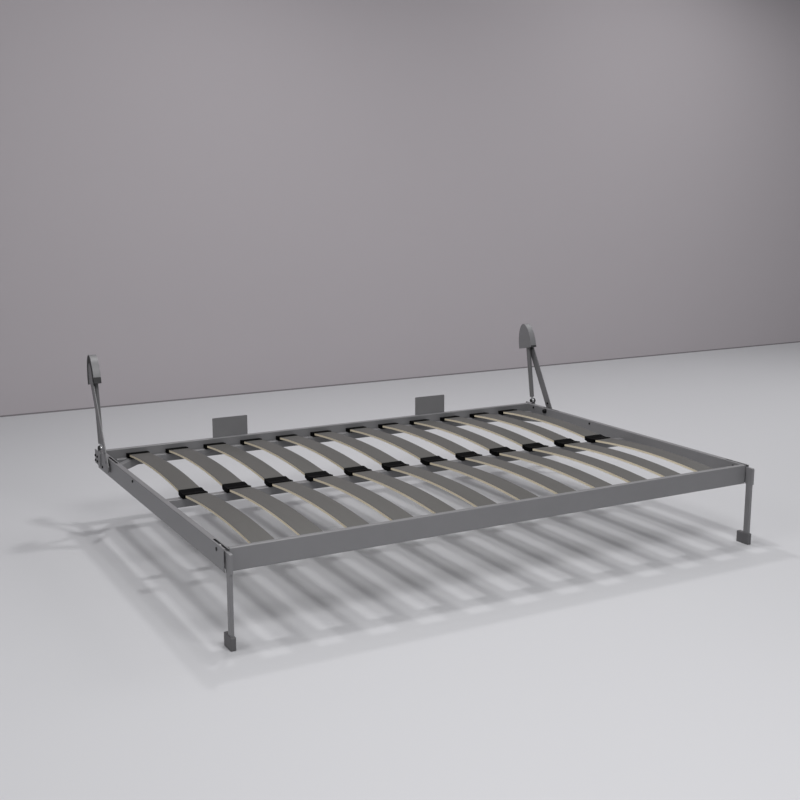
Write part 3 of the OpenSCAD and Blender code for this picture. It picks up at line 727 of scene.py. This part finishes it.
class BED_OT_arms(bpy.types.Operator):
    """Models the arms as flat bars with a grey head on a screw plate inside each cover, the plate painted
    near black as the shade inside the cover
    """

    bl_idname = "bed.arms"
    bl_label = "Arms"

    def bar(self, sizes, pivot, middle_x, thick):
        """Flat bar from below the pivot up into the head."""
        reach = (sizes.cover_z - pivot.z) / math.cos(sizes.arm_lean) + sizes.arm_width * ARM_OVERLAP
        foot = -sizes.arm_tail - sizes.arm_width / 2
        bar = block("arm_bar", (thick, sizes.arm_width, reach - foot), (0, 0, (reach + foot) / 2))
        choose(bar, "EDGE", lambda a, b: a.z < 0 and b.z < 0 and abs(a.x - b.x) > thick / 2)
        bpy.ops.mesh.bevel(offset=sizes.arm_width * ARM_ROUND, segments=12)
        close()
        return turned(bar, -sizes.arm_lean, (middle_x, pivot.y, pivot.z))

    def execute(self, context):
        sizes = context.scene.bed_sizes
        looks = context.scene.bed_looks
        low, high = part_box("arm_right")
        thick = high[0] - low[0]
        middle_x = (low[0] + high[0]) / 2
        pivot = centre("pivot_pins")
        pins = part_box("pivot_pins")
        pin_radius = (pins[1][2] - pins[0][2]) / 2
        base = (middle_x, sizes.cover_y, sizes.cover_z)

        arm = self.bar(sizes, pivot, middle_x, thick)
        head = half_oval("arm_head", sizes.head_half, sizes.head_rise, thick)
        combine(arm, turned(head, -sizes.cover_lean, base), "UNION")
        low_y, low_z = low_screw_place(sizes)
        for y, z, radius in ((pivot.y, pivot.z, pin_radius), (low_y, low_z, sizes.low_radius)):
            combine(arm, rod("hole", radius, thick * 3, (middle_x, y, z), (1, 0, 0)), "DIFFERENCE")

        inset = sizes.cover_wall * PLATE_CLEAR
        plate_thick = thick * sizes.plate_share
        plate_x = low[0] + plate_thick / 2
        plate = half_oval("arm_plate", sizes.cover_half - inset, sizes.cover_rise - inset, plate_thick)
        turned(plate, -sizes.cover_lean, (plate_x, sizes.cover_y, sizes.cover_z))
        for side in (-0.5, 0.5):
            for row in (-0.5, 0.5):
                hole_y = sizes.screw_y + side * sizes.screw_dy
                hole_z = sizes.screw_z + row * sizes.screw_dz
                place = (middle_x, hole_y, hole_z)
                for piece in (arm, plate):
                    combine(piece, rod("hole", sizes.screw_radius, thick * 3, place, (1, 0, 0)), "DIFFERENCE")

        # The arms take a darker copy of the frame's coat, as painted shade.
        coat = coat_finish("arm_coat", looks.arm)
        # The screw plates are painted near black to stand for the shade inside each cover.
        black = coat_finish("plate_paint", looks.plate, 0.5)
        arm.name = "arm_head_bar_right"
        plate.name = "arm_screw_plate_right"
        arm_twin = mirrored(arm, "arm_head_bar_left")
        plate_twin = mirrored(plate, "arm_screw_plate_left")
        finished(arm, coat, "coated_steel", "arms", "arm_right")
        finished(arm_twin, coat, "coated_steel", "arms", "arm_left")
        finished(plate, black, "coated_steel", "arms")
        finished(plate_twin, black, "coated_steel", "arms")
        return {"FINISHED"}


class BED_OT_cover_bands(bpy.types.Operator):
    """Models a dark band of painted shade round the lower edge of each cover's front wall"""

    bl_idname = "bed.cover_bands"
    bl_label = "Cover bands"

    def band(self, sizes, node, height):
        """Band with a sunk face, on the chord of the cover's front wall."""
        low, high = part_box(node)
        proud = sizes.band_proud
        wall = sizes.cover_wall
        band = block("band", (high[0] - low[0], wall + 2 * proud, height), (0, 0, height / 2 - proud))
        rim = BAND_ROUND * proud
        choose(band, "EDGE", lambda a, b: True)
        bpy.ops.mesh.bevel(offset=rim, segments=3)
        close()
        choose(band, "FACE", lambda middle, normal: normal.y < -FACING)
        bpy.ops.mesh.inset(thickness=BAND_RIM * proud)
        bpy.ops.mesh.extrude_region_move(TRANSFORM_OT_translate={"value": (0, rim / 2, 0)})
        close()
        inward = sizes.cover_half * (1 - math.sqrt(1 - (height / sizes.cover_rise) ** 2))
        chord = math.atan2(inward, height)
        lean = Vector((0, math.cos(sizes.cover_lean), -math.sin(sizes.cover_lean)))
        base = Vector(((low[0] + high[0]) / 2, sizes.cover_y, sizes.cover_z))
        turned(band, -sizes.cover_lean - chord, base - lean * (sizes.cover_half - wall / 2))
        band.name = node.replace("cover", "cover_band")
        return band

    def execute(self, context):
        sizes = context.scene.bed_sizes
        # A near-black moulded strip that paints the shade at the foot of each cover's front wall.
        band_shade = moulded_finish("band_rubber", context.scene.bed_looks.band, 0.55)
        for node, height in (("cover_left", sizes.band_left), ("cover_right", sizes.band_right)):
            finished(self.band(sizes, node, height), band_shade, "holder_plastic", "arms")
        return {"FINISHED"}


class BED_OT_bolts(bpy.types.Operator):
    """Models the button head bolts and hex nuts of the rails, brackets and stops"""

    bl_idname = "bed.bolts"
    bl_label = "Bolts"

    def bolt(self, sizes, shank):
        """Bolt that points up Z, with the seat of its head at zero."""
        bolt = rod("bolt", sizes.bolt_head, sizes.bolt_height, (0, 0, sizes.bolt_height / 2))
        top = sizes.bolt_height * END_SHARE
        choose(bolt, "EDGE", lambda a, b: a.z > top and b.z > top)
        bpy.ops.mesh.bevel(offset=sizes.bolt_height * BOLT_ROUND, segments=4)
        close()
        choose(bolt, "FACE", lambda middle, normal: normal.z < -FACING)
        bpy.ops.mesh.inset(thickness=sizes.bolt_head - sizes.bolt_radius)
        bpy.ops.mesh.extrude_region_move(TRANSFORM_OT_translate={"value": (0, 0, -shank)})
        close()
        top_middle = (0, 0, sizes.bolt_height)
        socket = rod("socket", sizes.bolt_head * BOLT_SOCKET, sizes.bolt_height, top_middle, sides=6)
        return combine(bolt, socket, "DIFFERENCE")

    def nut(self, sizes):
        """Hex nut that points up Z, with its seat at zero."""
        nut = rod("nut", sizes.nut_radius, sizes.bolt_height, (0, 0, sizes.bolt_height / 2), sides=6)
        choose(nut, "EDGE", lambda a, b: abs(a.z - b.z) < NO_DISTANCE)
        bpy.ops.mesh.bevel(offset=sizes.bolt_height * NUT_CHAMFER, segments=2)
        close()
        choose(nut, "FACE", lambda middle, normal: normal.z > FACING)
        bpy.ops.mesh.inset(thickness=sizes.nut_radius * NUT_RIM)
        sink = (0, 0, -sizes.bolt_height * NUT_SINK)
        bpy.ops.mesh.extrude_region_move(TRANSFORM_OT_translate={"value": sink})
        close()
        return nut

    def execute(self, context):
        sizes = context.scene.bed_sizes
        bolt = self.bolt(sizes, sizes.bolt_shank)
        nut = self.nut(sizes)
        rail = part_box("rail_right")
        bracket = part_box("strut_bracket_right")
        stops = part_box("mattress_stops")
        rows = (
            (bracket[1][0], BRACKET_BOLTS, 1),
            (rail[0][0], INNER_BOLTS, -1),
            (rail[1][0], OUTER_BOLTS, 1),
        )
        pieces = []
        for x, pairs, way in rows:
            for y, z in bolt_places(pairs, rail):
                for side in (1, -1):
                    pieces.append(copied(bolt, (side * x, y, z), (side * way, 0, 0)))
        for y, z in bolt_places(BRACKET_BOLTS, rail):
            if y > rail[1][1]:
                for side in (1, -1):
                    pieces.append(copied(nut, (side * bracket[0][0], y, z), (-side, 0, 0)))
        for x in STOP_BOLTS_X:
            pieces.append(copied(bolt, (x, stops[1][1], rail[0][2] + STOP_BOLT_Z), (0, 1, 0)))
        discard(bolt)
        discard(nut)
        black = bpy.data.materials["black_oxide"]
        finished(joined("rail_bolts_detail", pieces), black, "black_fasteners", "frame", "rail_bolts")

        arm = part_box("arm_right")
        screw = self.bolt(sizes, arm[1][0] - arm[0][0])
        y, z = low_screw_place(sizes)
        screws = [copied(screw, (side * arm[0][0], y, z), (-side, 0, 0)) for side in (1, -1)]
        discard(screw)
        finished(joined("arm_screws", screws), black, "black_fasteners", "arms")
        return {"FINISHED"}


class BED_OT_strut_bushes(bpy.types.Operator):
    """Models the black bushes on the strut brackets' eyes and the washers round the strut pins' heads"""

    bl_idname = "bed.strut_bushes"
    bl_label = "Strut bushes"

    def ring(self, name, radius, bore, thick, rim, segments):
        """Ring round X with rounded edges, with its middle at zero."""
        ring = rod(name, radius, thick, (0, 0, 0), (1, 0, 0), RING_SIDES)
        combine(ring, rod("bore", bore, thick * 2, (0, 0, 0), (1, 0, 0), RING_SIDES), "DIFFERENCE")
        end = thick / 2 * END_SHARE
        choose(ring, "EDGE", lambda a, b: abs(a.x - b.x) < NO_DISTANCE and abs(a.x) > end)
        bpy.ops.mesh.bevel(offset=rim, segments=segments)
        close()
        return ring

    def execute(self, context):
        sizes = context.scene.bed_sizes
        low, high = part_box("strut_bracket_right")
        eye = centre("strut_pins")
        thick = high[0] - low[0] + sizes.bush_proud
        bush = self.ring("bush", sizes.bush_radius, sizes.bush_bore, thick, sizes.bush_rim, 3)
        turned(bush, 0, ((low[0] + high[0]) / 2 + sizes.bush_proud / 4, eye.y, eye.z))

        thick = sizes.washer_thick
        washer = self.ring("washer", sizes.washer_radius, sizes.washer_bore, thick, sizes.washer_rim, 2)
        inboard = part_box("strut_eye_right")[0][0] - sizes.washer_gap
        turned(washer, 0, (inboard - thick / 2, eye.y, eye.z))

        bush = joined("strut_bush_right", [bush, washer])
        twin = mirrored(bush, "strut_bush_left")
        for piece in (bush, twin):
            finished(piece, bpy.data.materials["nylon"], "nylon", "frame")
        return {"FINISHED"}


class BED_OT_welds(bpy.types.Operator):
    """Models the weld beads between the rails, ledges, beam and corner braces"""

    bl_idname = "bed.welds"
    bl_label = "Weld beads"

    def bead(self, sizes):
        """Rippled bead up Z, with its middle at zero."""
        bead = rod("bead", sizes.weld_radius, sizes.weld_length, sides=12)
        choose(bead, "EDGE", lambda a, b: abs(a.z - b.z) > sizes.weld_length / 2)
        bpy.ops.mesh.subdivide(number_cuts=WELD_RIPPLES)
        step = sizes.weld_length / (WELD_RIPPLES + 1)
        for ring in range(0, WELD_RIPPLES + 2, 2):
            height = ring * step - sizes.weld_length / 2
            close()
            choose(bead, "EDGE", lambda a, b: max(abs(a.z - height), abs(b.z - height)) < step / 3)
            narrow = WELD_END if ring in (0, WELD_RIPPLES + 1) else WELD_NECK
            bpy.ops.transform.resize(value=(narrow, narrow, 1), center_override=(0, 0, height))
        close()
        return bead

    def execute(self, context):
        sizes = context.scene.bed_sizes
        bead = self.bead(sizes)
        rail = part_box("rail_right")
        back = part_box("rail_back")
        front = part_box("rail_front")
        ledge_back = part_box("ledge_back")
        ledge_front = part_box("ledge_front")
        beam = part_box("centre_beam")
        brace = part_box("corner_braces")
        rail_z = (back[0][2] + back[1][2]) / 2 + WELD_HIGH
        tube_z = (ledge_back[0][2] + ledge_back[1][2]) / 2
        spots = [(back[0][1], rail_z), (front[1][1], rail_z)]
        for y in (ledge_back[0][1], ledge_front[1][1], beam[0][1], beam[1][1], brace[0][1]):
            spots.append((y, tube_z))
        pieces = []
        for y, z in spots:
            for side in (1, -1):
                pieces.append(copied(bead, (side * rail[0][0], y, z)))
        discard(bead)
        coat = bpy.data.materials["powder_coat"]
        finished(joined("weld_beads", pieces), coat, "coated_steel", "frame")
        return {"FINISHED"}


class BED_OT_studio(bpy.types.Operator):
    """Sets up the floor, wall, lamps and camera"""

    bl_idname = "bed.studio"
    bl_label = "Studio"

    def execute(self, context):
        scene = context.scene
        studio = scene.bed_studio
        upright = (math.radians(90), 0, 0)
        square = (STAGE_WIDTH, STAGE_WIDTH, 1)
        paint = stage_finish("floor_paint", studio.floor)
        stage_sheet("floor", square, (0, 0, -FLOOR_DROP), (0, 0, 0), paint)
        paint = stage_finish("wall_paint", studio.wall)
        stage_sheet("wall", square, (0, studio.wall_y, STAGE_WIDTH / 2), upright, paint)
        # Dark strip at the foot of the wall: a painted contact shadow.
        paint = stage_finish("joint_paint", studio.joint_shadow_tone)
        place = (0, studio.wall_y - JOINT_SHADOW_PROUD, studio.joint / 2)
        stage_sheet("wall_joint", (STAGE_WIDTH, studio.joint, 1), place, upright, paint)
        for values in LAMPS:
            lamp(*values)

        world = bpy.data.worlds.new("studio_world")
        world.use_nodes = True
        sky = world.node_tree.nodes["Background"]
        sky.inputs["Color"].default_value = SKY_COLOUR
        sky.inputs["Strength"].default_value = SKY_STRENGTH
        scene.world = world
        scene.view_settings.view_transform = "Standard"

        bpy.ops.object.camera_add(location=CAMERA_PLACE)
        camera = context.object
        camera.name = "photo_camera"
        camera.rotation_euler = (math.radians(90 - CAMERA_DOWN), 0, math.radians(CAMERA_TURN))
        camera.data.sensor_width = CAMERA_SENSOR
        camera.data.lens = CAMERA_LENS
        scene.camera = camera
        return {"FINISHED"}


class BED_PT_looks(bpy.types.Panel):
    """Lists the bed's steps and settings"""

    bl_idname = "BED_PT_looks"
    bl_label = "Wall bed"
    bl_space_type = "VIEW_3D"
    bl_region_type = "UI"
    bl_category = "Wall bed"

    def draw(self, context):
        for step in STEPS:
            self.layout.operator(step.bl_idname)
        for group in (context.scene.bed_looks, context.scene.bed_sizes, context.scene.bed_studio):
            for key in group.__annotations__:
                self.layout.prop(group, key)


STEPS = (
    BED_OT_coated_steel,
    BED_OT_strut_covers,
    BED_OT_gas_struts,
    BED_OT_slats,
    BED_OT_mouldings,
    BED_OT_fasteners,
    BED_OT_arms,
    BED_OT_cover_bands,
    BED_OT_bolts,
    BED_OT_strut_bushes,
    BED_OT_welds,
    BED_OT_studio,
)
CLASSES = (BedLooks, BedSizes, BedStudio) + STEPS + (BED_PT_looks,)


def register():
    for kind in CLASSES:
        bpy.utils.register_class(kind)
    bpy.types.Scene.bed_looks = PointerProperty(type=BedLooks)
    bpy.types.Scene.bed_sizes = PointerProperty(type=BedSizes)
    bpy.types.Scene.bed_studio = PointerProperty(type=BedStudio)


def unregister():
    del bpy.types.Scene.bed_studio
    del bpy.types.Scene.bed_sizes
    del bpy.types.Scene.bed_looks
    for kind in reversed(CLASSES):
        bpy.utils.unregister_class(kind)


def main():
    register()
    bpy.ops.bed.coated_steel()
    bpy.ops.bed.strut_covers()
    bpy.ops.bed.gas_struts()
    bpy.ops.bed.slats()
    bpy.ops.bed.mouldings()
    bpy.ops.bed.fasteners()
    bpy.ops.bed.arms()
    bpy.ops.bed.cover_bands()
    bpy.ops.bed.bolts()
    bpy.ops.bed.strut_bushes()
    bpy.ops.bed.welds()
    bpy.ops.bed.studio()


if __name__ == "__main__":
    main()
